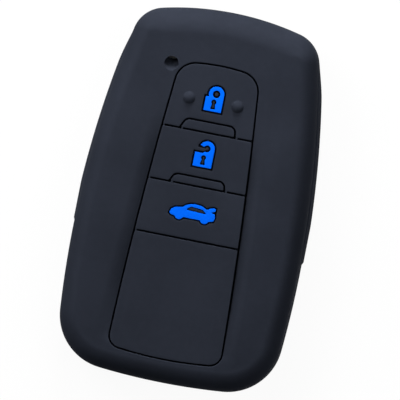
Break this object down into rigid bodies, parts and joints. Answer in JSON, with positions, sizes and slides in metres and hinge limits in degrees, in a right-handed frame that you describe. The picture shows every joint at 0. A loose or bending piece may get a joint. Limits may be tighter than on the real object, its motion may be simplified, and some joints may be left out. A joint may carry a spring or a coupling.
{
  "type": "car key cover",
  "caption": "Soft silicone sleeve for a car's smart key, open at the back, with press buttons bounded by grooves and blue symbols.",
  "frame": {"origin": "middle of the back, on the surface that the cover lies on", "axes": "+X across the cover, +Y along it towards the lock button and the light hole, +Z out of the button face"},
  "size_m": [0.0498, 0.08, 0.019],
  "materials": {
    "black_silicone": "matt, fine grain",
    "blue_silicone": "matt"
  },
  "bodies": {
    "cover": {"sleeve": "black_silicone", "lower_panel": "black_silicone", "upper_divider": "black_silicone", "lower_divider": "black_silicone"},
    "lock_key": {"lock_button": "black_silicone", "lock_symbol": "blue_silicone"},
    "unlock_key": {"unlock_button": "black_silicone", "unlock_symbol": "blue_silicone"},
    "trunk_key": {"trunk_button": "black_silicone", "trunk_symbol": "blue_silicone"}
  },
  "joints": [
    {"name": "lock_press", "type": "slide", "parent": "cover", "child": "lock_key", "axis": [0, 0, -1], "range_m": [0, 0.0005], "stiffness_N_per_m": 400},
    {"name": "unlock_press", "type": "slide", "parent": "cover", "child": "unlock_key", "axis": [0, 0, -1], "range_m": [0, 0.0005], "stiffness_N_per_m": 400},
    {"name": "trunk_press", "type": "slide", "parent": "cover", "child": "trunk_key", "axis": [0, 0, -1], "range_m": [0, 0.0005], "stiffness_N_per_m": 400}
  ]
}
